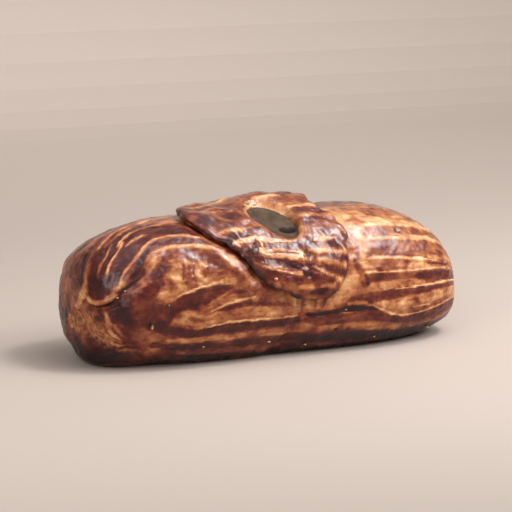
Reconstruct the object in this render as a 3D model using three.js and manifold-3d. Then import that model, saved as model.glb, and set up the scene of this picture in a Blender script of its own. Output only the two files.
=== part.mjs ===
import * as THREE from 'three';
import Module from 'manifold-3d';

// Whole, uncut pate baked in a free-form pastry crust. Millimetres, +Z up,
// +X along the loaf, -Y the side that carries the tip of the dough patch.

// driving dimensions of the crust
const leftHalf = 125;          // from the middle to the folded end
const rightHalf = 128;
const crustWidth = 96;
const crustHeight = 85;
const girthHeight = 40;        // height of the widest girth
const baseSink = 6;            // how far the round underside is pressed flat
const leftShoulder = 3.5;      // higher = blunter end, above the widest girth
const leftFoot = 3.15;         // the same, below it
const rightShoulder = 2.95;
const rightFoot = 3.5;
const topSquareness = 2.35;
const flankSquareness = 2.4;
const leftEndHeight = 30;      // height of the middle of each end
const rightEndHeight = 26;
const rightCrest = 0.8;        // how much higher the right lobe stands
const endSquareness = 3.15;    // how fast the rings widen away from each end
const flapTipY = -25;          // where the folded end closes, on the left end
const flapTipUp = 0.14;        // the same, as a share of the height above the middle
const endTurn = 0.12;          // how far the left end is turned toward -Y
const waistDepth = 0.05;
const waistTopDepth = 0.04;
const waistX = 5;
const waistSpread = 22;

// glaze stripes, pastry thickness and small relief
const stripePitch = 9.3;
const scoreDepth = 0.6;
const doughThickness = 5.5;
const clearance = 0.3;
const cornerLift = 1.8;        // how far the left corner of the patch stands off

// chimney, patch and jelly
const chimneyX = -3;
const chimneyGirth = 24;       // distance down the near side from the crest
const chimneyLong = 17;        // half length
const chimneyShort = 11;       // half width
const chimneyTurn = 0.85;      // radians from +X toward the near side
const chimneyFlare = 4.5;      // how far the wall leans back on the uphill right side
const wellDepth = 10;
const jellyLevel = 1.9;        // above the crust surface, at the middle
const jellyTilt = -0.1;        // slope of its top, against the slope of the crust
const pitDepth = 1.6;

const signedPower = (a, p) => Math.sign(a) * Math.abs(a) ** p;

function ease(a, b, x) {
  const t = Math.min(Math.max((x - a) / (b - a), 0), 1);
  return t * t * (3 - 2 * t);
}

function bell(x, middle, spread) {
  return Math.exp(-(((x - middle) / spread) ** 2));
}

// slow, repeatable unevenness in three dimensions
function lumps(x, y, z, size) {
  const a = Math.sin(x / size + 1.7 * Math.sin(z / size + 0.6));
  const b = Math.sin(y / (0.8 * size) + 1.3 * Math.sin(x / (1.3 * size) + 2.1));
  const c = Math.sin(z / (0.9 * size) + 1.1 * Math.sin(y / (1.2 * size) - 0.8));
  return (a + b + c) / 3;
}

// smooth body: ring runs 0..pi from the left end to the right end, girth is the
// angle round the loaf, 0 at +Y, a quarter turn at the crest, a half turn at -Y
function bodyPoint(ring, girth) {
  const left = Math.cos(ring) > 0;
  const n = Math.sin(girth) >= 0 ? topSquareness : flankSquareness;
  const reach = Math.abs(Math.sin(ring)) ** (2 / endSquareness);
  let across = reach * signedPower(Math.cos(girth), 2 / n);
  let upward = reach * signedPower(Math.sin(girth), 2 / n);
  if (left) {
    const pull = Math.max(1 - reach / 0.97, 0) ** 1.5;
    across += (pull * flapTipY) / (crustWidth / 2);
    upward += pull * flapTipUp;
  }
  const k = upward >= 0 ? topSquareness : flankSquareness;
  const out = Math.min((Math.abs(across) ** k + Math.abs(upward) ** k) ** (1 / k), 1);
  const high = ease(-0.4, 0.5, upward);
  const foot = left ? leftFoot : rightFoot;
  const m = foot + ((left ? leftShoulder : rightShoulder) - foot) * high;
  const x = (left ? -leftHalf : rightHalf) * (1 - out ** m) ** (1 / m);
  const endHeight = left ? leftEndHeight : rightEndHeight;
  const middle = endHeight + (girthHeight - endHeight) * out;
  const waist = bell(x, waistX, waistSpread);
  const crest = rightCrest * ease(25, 60, x);
  const rise = (crustHeight - girthHeight) * (1 - waistTopDepth * waist) + crest;
  const drop = girthHeight + baseSink;
  const y = 0.5 * crustWidth * (1 - waistDepth * waist) * across;
  const z = middle + (upward >= 0 ? rise : drop) * upward;
  const turned = left ? x - endTurn * y * ease(0.45, 0.95, -x / leftHalf) : x;
  return new THREE.Vector3(turned, y, z);
}

// table of the girth angle against distance along the middle cross section
const girthTable = [];
{
  let run = 0;
  let last = null;
  for (let i = 0; i <= 1440; i += 1) {
    const angle = -0.5 * Math.PI + (i / 1440) * 2 * Math.PI;
    const p = bodyPoint(0.5 * Math.PI, angle);
    if (last) run += Math.hypot(p.y - last.y, Math.max(p.z, 0) - Math.max(last.z, 0));
    girthTable.push([angle, run, p.z]);
    last = p;
  }
}
const crestRun = girthTable[720][1];

// girth angle at a distance down from the crest, positive toward -Y
function girthAt(distance) {
  const run = crestRun + distance;
  let low = 0;
  let high = girthTable.length - 1;
  while (high - low > 1) {
    const mid = (low + high) >> 1;
    if (girthTable[mid][1] > run) high = mid;
    else low = mid;
  }
  const t = (run - girthTable[low][1]) / (girthTable[high][1] - girthTable[low][1] || 1);
  return girthTable[low][0] + t * (girthTable[high][0] - girthTable[low][0]);
}

function distanceAt(girth) {
  const turn = 2 * Math.PI;
  const wrapped = ((((girth + 0.5 * Math.PI) % turn) + turn) % turn) / turn;
  const i = Math.min(Math.floor(wrapped * 1440), 1439);
  const t = wrapped * 1440 - i;
  return girthTable[i][1] + t * (girthTable[i + 1][1] - girthTable[i][1]) - crestRun;
}

// ring angle that reaches a given place along the loaf
function ringAt(x, girth) {
  let low = 0.01;
  let high = Math.PI - 0.01;
  for (let i = 0; i < 40; i += 1) {
    const mid = 0.5 * (low + high);
    if (bodyPoint(mid, girth).x > x) high = mid;
    else low = mid;
  }
  return 0.5 * (low + high);
}

function normalAt(ring, girth) {
  const e = 0.004;
  const a = bodyPoint(Math.max(ring - e, 0.001), girth);
  const b = bodyPoint(Math.min(ring + e, Math.PI - 0.001), girth);
  const c = bodyPoint(ring, girth - e);
  const d = bodyPoint(ring, girth + e);
  const n = new THREE.Vector3().crossVectors(d.sub(c), b.sub(a));
  if (n.lengthSq() < 1e-12) return new THREE.Vector3(ring < 1 ? -1 : 1, 0, 0);
  return n.normalize();
}

// reach of the ragged patch from the chimney, one size every 22.5 degrees from the
// left, by way of the back, the right and the tip on the near side
const patchReaches = [50, 57, 46.5, 43.5, 42, 44.5, 45, 36, 37, 44.5, 52.5, 53.5, 45.5, 39.5, 37, 38];

function patchReach(bearing) {
  const turn = ((bearing / (2 * Math.PI) + 2.5) % 1) * 16;
  const i = Math.floor(turn);
  const t = turn - i;
  const [a, b, c, d] = [15, 16, 17, 18].map((k) => patchReaches[(i + k) % 16]);
  const bend = (2 * a - 5 * b + 4 * c - d + t * (3 * b - a - 3 * c + d)) * t;
  const smoothReach = b + 0.5 * t * (c - a + bend);
  return smoothReach + 0.7 * Math.sin(7 * bearing + 0.8) + 0.5 * Math.sin(17 * bearing + 2.2);
}

function chimneyReach(bearing) {
  const a = bearing - chimneyTurn;
  return 1 / Math.hypot(Math.cos(a) / chimneyLong, Math.sin(a) / chimneyShort);
}

// how far a place on the crust lies inside the patch: 1 well inside, 0 outside
function underPatch(x, distance) {
  const dx = x - chimneyX;
  const ds = distance - chimneyGirth;
  const reach = patchReach(Math.atan2(ds, dx));
  return ease(reach + 2, reach - 4, Math.hypot(dx, ds));
}

// height of the crust relief above the smooth body
function relief(ring, girth) {
  const p = bodyPoint(ring, girth);
  const distance = distanceAt(girth);
  const phase = distance / stripePitch;
  const nearest = Math.abs(phase - Math.round(phase));
  const cover = underPatch(p.x, distance);
  const flat = ease(0, 7, p.z);
  const toEnd = Math.abs(Math.sin(ring));
  let h = scoreDepth * (ease(0, 0.3, nearest) - 0.6) * (1 - cover) * ease(0.1, 0.35, toEnd);
  h += 0.9 * lumps(p.x, p.y, p.z, 11) * (1 - 0.7 * cover);

  // moat along the far-left edge of the patch
  const dx = p.x - chimneyX;
  const ds = distance - chimneyGirth;
  const bearing = Math.atan2(ds, dx);
  const past = Math.hypot(dx, ds) - patchReach(bearing);
  const side = bell(bearing, 2.55, 0.9) + bell(bearing, 2.55 - 2 * Math.PI, 0.9);
  h -= 2.4 * side * bell(past, -0.5, 4.5);
  h += 1.6 * side * bell(past, 9, 5);

  // crease that runs from the tip of the patch down to the base
  const creaseX = 12 - 0.5 * Math.max(distance - 74, 0);
  const below = ease(66, 76, distance) * ease(130, 100, distance);
  h -= 1.9 * bell(p.x, creaseX, 5) * below;
  h += 0.8 * Math.sin((p.x - creaseX) / 2.6) * bell(p.x, creaseX + 22, 16) * below * 0.6;

  // folded left end: a tongue from the top over a near flap, a far flap and torn dough
  if (p.x < -60) {
    const turn = ((girth % (2 * Math.PI)) + 2 * Math.PI) % (2 * Math.PI);
    const fold = ease(-78, -98, p.x);
    const tongue = ease(1.25, 1.38, turn) * ease(2.72, 2.6, turn);
    const nearFlap = ease(2.6, 2.72, turn) * ease(3.62, 3.5, turn);
    const torn = ease(3.5, 3.62, turn) * ease(5.2, 5.0, turn);
    const seam = bell(turn, 2.76, 0.07) + bell(turn, 1.2, 0.07) + 0.8 * bell(turn, 3.66, 0.07);
    h += fold * (2.6 * tongue + 0.9 * nearFlap - 1.5 * torn - 1.3 * seam);
    h += fold * torn * 0.9 * Math.sin(p.y / 2.3) * Math.cos(p.z / 3.1);
    h += 4.5 * ease(0.35, 0.6, ring) * torn * bell(p.z, 6, 7) * ease(-70, -100, p.x);
  }
  return h * (0.25 + 0.75 * flat);
}

function crustPoint(ring, girth, extra) {
  const p = bodyPoint(ring, girth);
  p.addScaledVector(normalAt(ring, girth), relief(ring, girth) + extra);
  p.z = Math.max(p.z, -extra);
  return p;
}

// rings at even spacing along the crest, lines at even spacing round the girth
function evenRings(count) {
  const runs = [0];
  const steps = 2000;
  let last = bodyPoint(0, 0.5 * Math.PI);
  for (let i = 1; i <= steps; i += 1) {
    const p = bodyPoint((i / steps) * Math.PI, 0.5 * Math.PI);
    runs.push(runs[i - 1] + p.distanceTo(last));
    last = p;
  }
  const rings = [];
  let at = 0;
  for (let k = 1; k < count; k += 1) {
    while (runs[at] < (k / count) * runs[steps]) at += 1;
    rings.push((at / steps) * Math.PI);
  }
  return rings;
}

function evenGirths() {
  const girths = [];
  const footRun = girthTable.find((row) => row[2] > 0.5)[1] - crestRun;
  const lines = Math.floor((-footRun / stripePitch) * 3);
  for (let k = -lines; k <= lines; k += 1) girths.push(girthAt((k * stripePitch) / 3));
  const first = girths[0] + 2 * Math.PI;
  const lastOne = girths[girths.length - 1];
  for (let k = 1; k < 7; k += 1) girths.push(lastOne + ((first - lastOne) * k) / 7);
  return girths;
}

// closed skin over rows of points, with a single point at each end of the rows
function skin(startPoint, rows, endPoint) {
  const around = rows[0].length;
  const places = [startPoint.x, startPoint.y, startPoint.z];
  for (const row of rows) {
    for (const p of row) places.push(p.x, p.y, p.z);
  }
  places.push(endPoint.x, endPoint.y, endPoint.z);
  const faces = [];
  const id = (r, c) => 1 + r * around + (c % around);
  const final = 1 + rows.length * around;
  for (let c = 0; c < around; c += 1) {
    faces.push(0, id(0, c), id(0, c + 1));
    faces.push(final, id(rows.length - 1, c + 1), id(rows.length - 1, c));
    for (let r = 0; r < rows.length - 1; r += 1) {
      faces.push(id(r, c), id(r + 1, c), id(r + 1, c + 1));
      faces.push(id(r, c), id(r + 1, c + 1), id(r, c + 1));
    }
  }
  return { places, faces };
}

// closed ring-shaped skin: the last row joins the first one
function loopSkin(rows) {
  const around = rows[0].length;
  const places = [];
  for (const row of rows) {
    for (const p of row) places.push(p.x, p.y, p.z);
  }
  const faces = [];
  const id = (r, c) => (r % rows.length) * around + (c % around);
  for (let r = 0; r < rows.length; r += 1) {
    for (let c = 0; c < around; c += 1) {
      faces.push(id(r, c), id(r + 1, c), id(r + 1, c + 1));
      faces.push(id(r, c), id(r + 1, c + 1), id(r, c + 1));
    }
  }
  return { places, faces };
}

const wasm = await Module();
wasm.setup();

function toSolid(shape) {
  const solidMesh = new wasm.Mesh({
    numProp: 3,
    vertProperties: new Float32Array(shape.places),
    triVerts: new Uint32Array(shape.faces),
  });
  solidMesh.merge();
  const solid = new wasm.Manifold(solidMesh);
  if (solid.volume() > 0) return solid;
  const turned = [];
  for (let i = 0; i < shape.faces.length; i += 3) {
    turned.push(shape.faces[i], shape.faces[i + 2], shape.faces[i + 1]);
  }
  return toSolid({ places: shape.places, faces: turned });
}

function toMesh(solid, name, material) {
  const data = solid.getMesh();
  const stride = data.numProp;
  const count = data.vertProperties.length / stride;
  const places = new Float32Array(count * 3);
  for (let i = 0; i < count; i += 1) {
    for (let k = 0; k < 3; k += 1) places[3 * i + k] = data.vertProperties[stride * i + k];
  }
  const geometry = new THREE.BufferGeometry();
  geometry.setAttribute('position', new THREE.BufferAttribute(places, 3));
  geometry.setIndex(new THREE.BufferAttribute(new Uint32Array(data.triVerts), 1));
  const mesh = new THREE.Mesh(geometry, material);
  mesh.name = name;
  return mesh;
}

// crust ---------------------------------------------------------------------
function crustShape(extra) {
  const girths = evenGirths();
  const rows = evenRings(56).map((ring) => girths.map((g) => crustPoint(ring, g, extra)));
  return skin(crustPoint(0, 0, extra), rows, crustPoint(Math.PI, 0, extra));
}

// frame at the chimney: along the loaf, down the near side, and outward
const chimneyAngle = girthAt(chimneyGirth);
const chimneyRing = ringAt(chimneyX, chimneyAngle);
const chimneyMiddle = bodyPoint(chimneyRing, chimneyAngle);
const outward = normalAt(chimneyRing, chimneyAngle);
const along = new THREE.Vector3(1, 0, 0);
along.addScaledVector(outward, -along.dot(outward)).normalize();
const downhill = new THREE.Vector3().crossVectors(along, outward).normalize();
if (downhill.z > 0) downhill.negate();

function fromChimney(a, s, h) {
  const p = chimneyMiddle.clone();
  p.addScaledVector(along, a);
  p.addScaledVector(downhill, s);
  p.addScaledVector(outward, h);
  return p;
}

function ovalRow(shrink, height, steps) {
  const row = [];
  for (let i = 0; i < steps; i += 1) {
    const bearing = (i / steps) * 2 * Math.PI;
    const reach = chimneyReach(bearing) * shrink;
    const a = reach * Math.cos(bearing);
    const s = reach * Math.sin(bearing);
    row.push(fromChimney(a, s, typeof height === 'function' ? height(a, s) : height));
  }
  return row;
}

const wellRows = [ovalRow(1, -wellDepth, 48), ovalRow(1, 14, 48)];
const wellSolid = toSolid(skin(fromChimney(0, 0, -wellDepth), wellRows, fromChimney(0, 0, 14)));
const crustSolid = toSolid(crustShape(0)).subtract(wellSolid);

// patch ---------------------------------------------------------------------
function patchTop(x, distance) {
  const hump = 5.4 * bell(x, 9, 28) * bell(distance, -2, 20);
  const collar = 1.2 * bell(Math.hypot(x - chimneyX, distance - chimneyGirth), 17, 7);
  const thin = 1.2 * ease(45, 70, distance) + 1.5 * ease(15, 35, x) * ease(0, 25, distance);
  const wrinkle = 0.45 * Math.sin(x / 3.1 + Math.sin(distance / 5)) * Math.sin(distance / 4.2);
  return doughThickness + hump + collar - thin + wrinkle;
}

function patchLift(bearing, u) {
  const corner = bell(bearing, -2.78, 0.5) + bell(bearing, -2.78 + 2 * Math.PI, 0.5);
  return cornerLift * corner * ease(0.55, 1, u);
}

function patchPoint(bearing, u, share) {
  const flare = 0.6 + chimneyFlare * (0.5 + 0.5 * Math.cos(bearing + 0.75)) ** 1.5 * share;
  const inner = chimneyReach(bearing) + 0.4 + flare * ease(0.3, 0, u);
  const reach = inner + (patchReach(bearing) - inner) * u;
  const x = chimneyX + reach * Math.cos(bearing);
  const distance = chimneyGirth + reach * Math.sin(bearing);
  const low = 0.6 + patchLift(bearing, u);
  const girth = girthAt(distance);
  return crustPoint(ringAt(x, girth), girth, low + patchTop(x, distance) * share);
}

const patchSteps = 72;
const patchProfile = [
  [0.0, 0.05], [0.0, 0.45], [0.0, 0.82], [0.04, 0.98], [0.12, 1.0], [0.25, 1.0], [0.38, 1.0],
  [0.52, 1.0], [0.66, 1.0], [0.8, 1.0], [0.92, 0.97], [0.985, 0.8], [1.0, 0.45], [0.98, 0.1],
  [0.9, 0.0], [0.72, 0.0], [0.54, 0.0], [0.36, 0.0], [0.18, 0.0], [0.03, 0.0],
];
const patchRows = patchProfile.map(([u, share]) => {
  const row = [];
  for (let i = 0; i < patchSteps; i += 1) {
    row.push(patchPoint((i / patchSteps) * 2 * Math.PI - Math.PI, u, share));
  }
  return row;
});
const patchSolid = toSolid(loopSkin(patchRows)).subtract(toSolid(crustShape(clearance)));

// jelly ---------------------------------------------------------------------
function jellyHeight(a, s) {
  const pit = Math.hypot(a - 8.5, s - 5.5) / 5;
  return jellyLevel + Math.tan(jellyTilt) * s - pitDepth * Math.exp(-pit * pit);
}
const jellyFit = 1 - clearance / chimneyShort;
const jellyRows = [ovalRow(jellyFit, clearance - wellDepth, 48)];
for (const shrink of [1, 0.85, 0.68, 0.5, 0.32, 0.15]) {
  jellyRows.push(ovalRow(jellyFit * shrink, jellyHeight, 48));
}
const jellyBottom = fromChimney(0, 0, clearance - wellDepth);
const jellySolid = toSolid(skin(jellyBottom, jellyRows, fromChimney(0, 0, jellyHeight(0, 0))));

const crustMaterial = new THREE.MeshStandardMaterial({ color: 0x7a3d22, roughness: 0.4, metalness: 0 });
const patchMaterial = new THREE.MeshStandardMaterial({ color: 0x6e3320, roughness: 0.35, metalness: 0 });
const jellyMaterial = new THREE.MeshStandardMaterial({ color: 0x5f5540, roughness: 0.2, metalness: 0 });

const group = new THREE.Group();
group.name = 'pate_in_crust';
group.add(toMesh(crustSolid, 'crust_loaf', crustMaterial));
group.add(toMesh(patchSolid, 'dough_patch', patchMaterial));
group.add(toMesh(jellySolid, 'jelly_plug', jellyMaterial));

// the origin goes to the middle of the footprint box, on the underside
const box = new THREE.Box3().setFromObject(group);
const middleX = -0.5 * (box.min.x + box.max.x);
const middleY = -0.5 * (box.min.y + box.max.y);
for (const mesh of group.children) mesh.geometry.translate(middleX, middleY, -box.min.z);

export default group;
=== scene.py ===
import bpy
import math
import random
import numpy as np
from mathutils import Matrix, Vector, noise


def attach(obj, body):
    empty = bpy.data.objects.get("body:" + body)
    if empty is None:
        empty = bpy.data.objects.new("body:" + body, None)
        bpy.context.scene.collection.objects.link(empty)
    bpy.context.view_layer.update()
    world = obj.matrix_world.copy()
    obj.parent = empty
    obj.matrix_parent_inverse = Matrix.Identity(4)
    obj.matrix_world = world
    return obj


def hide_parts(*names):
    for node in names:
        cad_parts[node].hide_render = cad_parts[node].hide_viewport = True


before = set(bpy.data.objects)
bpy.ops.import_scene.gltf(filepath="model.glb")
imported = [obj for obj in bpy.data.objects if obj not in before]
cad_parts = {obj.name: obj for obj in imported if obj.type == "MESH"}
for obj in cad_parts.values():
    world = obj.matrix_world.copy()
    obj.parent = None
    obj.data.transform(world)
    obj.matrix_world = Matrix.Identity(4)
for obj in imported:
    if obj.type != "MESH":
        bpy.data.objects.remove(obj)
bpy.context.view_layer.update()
print("stage: frame loaded")

# the crust body, in millimetres, with the CAD's own sizes
loaf = {
    "leftHalf": 125.0, "rightHalf": 128.0,
    "width": 96.0, "height": 85.0, "girthHeight": 40.0, "baseSink": 6.0,
    "leftShoulder": 3.5, "leftFoot": 3.15, "rightShoulder": 2.95, "rightFoot": 3.5,
    "shoulderFrom": (-0.4, 0.5),
    "topSquareness": 2.35, "flankSquareness": 2.4,
    "leftEndHeight": 30.0, "rightEndHeight": 26.0, "rightCrest": 2.0, "crestFrom": (25, 60),
    "endSquareness": 3.15, "flapTipY": -25.0, "flapTipUp": 0.14, "flapReach": 0.97, "flapPower": 1.5,
    "endTurn": 0.12, "turnFrom": (0.45, 0.95),
    "waistDepth": 0.05, "waistTopDepth": 0.04, "waistX": 5.0, "waistSpread": 22.0,
    "middleX": -0.67, "middleY": 1.68,      # where the CAD puts the footprint's middle
    "lines": 330, "rings": 290,
}
chimney = {
    "x": -3.0, "girth": 24.0, "long": 17.0, "short": 11.0, "turn": 0.85, "flare": 4.5,
    "wellDepth": 10.0, "jellyLevel": 1.4, "jellyTilt": -0.1, "pitDepth": 1.3,
}
millimetre = 0.001


def ease(a, b, x):
    # soft step from 0 at a to 1 at b
    t = np.clip((x - a) / (b - a), 0, 1)
    return t * t * (3 - 2 * t)


def bell(x, middle, spread):
    return np.exp(-(((x - middle) / spread) ** 2))


def signedPower(a, p):
    return np.sign(a) * np.abs(a) ** p


def lumps(x, y, z, size):
    a = np.sin(x / size + 1.7 * np.sin(z / size + 0.6))
    b = np.sin(y / (0.8 * size) + 1.3 * np.sin(x / (1.3 * size) + 2.1))
    c = np.sin(z / (0.9 * size) + 1.1 * np.sin(y / (1.2 * size) - 0.8))
    return (a + b + c) / 3


def grain(x, y, z, size, octaves=3, seed=0.0):
    # soft random unevenness between about -1 and 1, features of the given size
    spots = zip((x / size + seed).tolist(), (y / size - seed).tolist(), (z / size).tolist())
    return np.array([noise.fractal(Vector(spot), 0.9, 2.1, octaves) for spot in spots])


def bodyPoint(ring, girth):
    # the smooth body: ring runs from the left pole to the right one, girth round the section
    ring, girth = np.broadcast_arrays(np.asarray(ring, float), np.asarray(girth, float))
    left = np.cos(ring) > 0
    n = np.where(np.sin(girth) >= 0, loaf["topSquareness"], loaf["flankSquareness"])
    reach = np.abs(np.sin(ring)) ** (2 / loaf["endSquareness"])
    across = reach * signedPower(np.cos(girth), 2 / n)
    upward = reach * signedPower(np.sin(girth), 2 / n)
    pull = np.where(left, np.maximum(1 - reach / loaf["flapReach"], 0) ** loaf["flapPower"], 0)
    across = across + pull * loaf["flapTipY"] / (loaf["width"] / 2)
    upward = upward + pull * loaf["flapTipUp"]
    k = np.where(upward >= 0, loaf["topSquareness"], loaf["flankSquareness"])
    out = np.minimum((np.abs(across) ** k + np.abs(upward) ** k) ** (1 / k), 1)
    high = ease(*loaf["shoulderFrom"], upward)
    leftM = loaf["leftFoot"] + (loaf["leftShoulder"] - loaf["leftFoot"]) * high
    rightM = loaf["rightFoot"] + (loaf["rightShoulder"] - loaf["rightFoot"]) * high
    m = np.where(left, leftM, rightM)
    x = np.where(left, -loaf["leftHalf"], loaf["rightHalf"]) * (1 - out ** m) ** (1 / m)
    endHeight = np.where(left, loaf["leftEndHeight"], loaf["rightEndHeight"])
    middle = endHeight + (loaf["girthHeight"] - endHeight) * out
    waist = bell(x, loaf["waistX"], loaf["waistSpread"])
    crest = loaf["rightCrest"] * ease(*loaf["crestFrom"], x)
    rise = (loaf["height"] - loaf["girthHeight"]) * (1 - loaf["waistTopDepth"] * waist) + crest
    drop = loaf["girthHeight"] + loaf["baseSink"]
    y = 0.5 * loaf["width"] * (1 - loaf["waistDepth"] * waist) * across
    z = middle + np.where(upward >= 0, rise, drop) * upward
    turn = ease(*loaf["turnFrom"], -x / loaf["leftHalf"])
    return np.where(left, x - loaf["endTurn"] * y * turn, x), y, z


# distance along the middle cross section against the girth angle
tableSteps = 1440
tableAngle = -0.5 * math.pi + np.linspace(0, 2 * math.pi, tableSteps + 1)
tableY, tableZ = bodyPoint(0.5 * math.pi, tableAngle)[1:]
tableStep = np.hypot(np.diff(tableY), np.diff(np.maximum(tableZ, 0)))
tableRun = np.concatenate([[0], np.cumsum(tableStep)])
tableRun = tableRun - tableRun[tableSteps // 2]
footRun = -tableRun[np.argmax(tableZ > 0.5)]


def girthAt(distance):
    return np.interp(distance, tableRun, tableAngle)


def distanceAt(girth):
    wrapped = (girth + 0.5 * math.pi) % (2 * math.pi) - 0.5 * math.pi
    return np.interp(wrapped, tableAngle, tableRun)


def ringAt(x, girth, halvings=34):
    low = np.full_like(x, 0.01)
    high = np.full_like(x, math.pi - 0.01)
    for step in range(halvings):
        mid = 0.5 * (low + high)
        past = bodyPoint(mid, girth)[0] > x
        high = np.where(past, mid, high)
        low = np.where(past, low, mid)
    return 0.5 * (low + high)


def normalAt(ring, girth):
    step = 0.004
    before = np.array(bodyPoint(np.maximum(ring - step, 0.001), girth))
    after = np.array(bodyPoint(np.minimum(ring + step, math.pi - 0.001), girth))
    below = np.array(bodyPoint(ring, girth - step))
    above = np.array(bodyPoint(ring, girth + step))
    n = np.cross((above - below).T, (after - before).T)
    size = np.linalg.norm(n, axis=1, keepdims=True)
    pole = np.stack([np.where(ring < 1, -1.0, 1.0), 0 * ring, 0 * ring], 1)
    return np.where(size > 1e-6, n / np.maximum(size, 1e-9), pole)


# how far the patch reaches from the chimney, at even bearings, starting at its left
patchReaches = [50, 57, 46.5, 43.5, 42, 44.5, 45, 36, 37, 44.5, 52.5, 53.5, 45.5, 39.5, 37, 38]


def patchReach(bearing):
    # a smooth curve through the reaches, with a slightly wavy edge
    count = len(patchReaches)
    turn = ((bearing / (2 * math.pi) + 2.5) % 1) * count
    i = np.floor(turn).astype(int)
    t = turn - i
    sizes = np.array(patchReaches, float)
    a, b, c, d = [sizes[(i + k) % count] for k in (-1, 0, 1, 2)]
    bend = (2 * a - 5 * b + 4 * c - d + t * (3 * b - a - 3 * c + d)) * t
    smoothReach = b + 0.5 * t * (c - a + bend)
    return smoothReach + 0.7 * np.sin(7 * bearing + 0.8) + 0.5 * np.sin(17 * bearing + 2.2)


def chimneyReach(bearing):
    a = bearing - chimney["turn"]
    return 1 / np.hypot(np.cos(a) / chimney["long"], np.sin(a) / chimney["short"])


def fromChimney(x, distance):
    # bearing and length from the chimney, on the crust
    dx = x - chimney["x"]
    ds = distance - chimney["girth"]
    return np.arctan2(ds, dx), np.hypot(dx, ds)


def facing(bearing, middle, spread):
    # bell round a bearing from the chimney
    other = middle - math.copysign(2 * math.pi, middle)
    return bell(bearing, middle, spread) + bell(bearing, other, spread)


# bearing and spread of the patch's left edge, and of its lifted corner
patchLeft = (2.55, 0.9)
patchCorner = (-2.78, 0.3)
# shapes of the folded left end, seen from the end: across, height, half width
endShapes = {
    "tongue": [(-25.5, 49, 8.5), (-25, 58, 11.5), (-23, 66, 13), (-20, 76, 15), (-16, 86, 18)],
    "torn": [(-11, 33, 4), (-17, 29, 6.5), (-23, 23, 6), (-29, 15, 3)],
    "tornSide": [(-14, 27, 4), (-6, 27, 4), (1, 28, 2.5)],
    "lip": [(-35, 3, 2), (-27, 4, 5), (-15, 5, 6), (-4, 7, 4)],
    "nearFlap": [(-41, 48, 8), (-38.5, 38, 8.5), (-36, 29, 6)],
}
# small marks of the crust: place along, distance down the near side, radius, height
crustDents = [(-89, 84, 1.5, -1.6), (78, 36, 1.2, -0.9), (31, 97.2, 1, -0.7), (39, 97.4, 1, -0.7)]
# heights of the crust's relief, in millimetres
relief = {
    "lumps": 0.9, "lumpSize": 11, "calmUnderPatch": 0.7, "pressed": 1.2, "swell": 1.6,
    "creaseX": 12, "crease": 1.9, "ripple": 0.48,
    "tongue": 2.0, "torn": 2.4, "tornSide": 1.0, "nearFlap": 1.3, "seam": 1.3,
    "glaze": 0.55, "coarse": 0.45, "small": 0.2, "wrinkle": 0.7, "crackle": 0.9,
    "shreds": 1.3, "tornLumps": 1.1, "foot": 0.7,
}
# how far the lower lip of the folded end spreads along the board, in millimetres
lip = {"spread": 21, "power": 1.3, "shelf": 2, "roll": 1.5, "farShare": 0.8, "nearShare": 0.45}


def strokeGap(u, v, course):
    # distance outside a stroke whose half width changes along it, negative inside
    gap = np.full(np.shape(u), 1e3)
    for (au, av, aw), (bu, bv, bw) in zip(course, course[1:]):
        du, dv = bu - au, bv - av
        t = np.clip(((u - au) * du + (v - av) * dv) / (du * du + dv * dv), 0, 1)
        gap = np.minimum(gap, np.hypot(u - au - t * du, v - av - t * dv) - (aw + t * (bw - aw)))
    return gap


def shredCourse(y, z):
    # along and across the torn shreds of the left end
    return 0.55 * y + 0.83 * z, 0.83 * y - 0.55 * z


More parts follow.
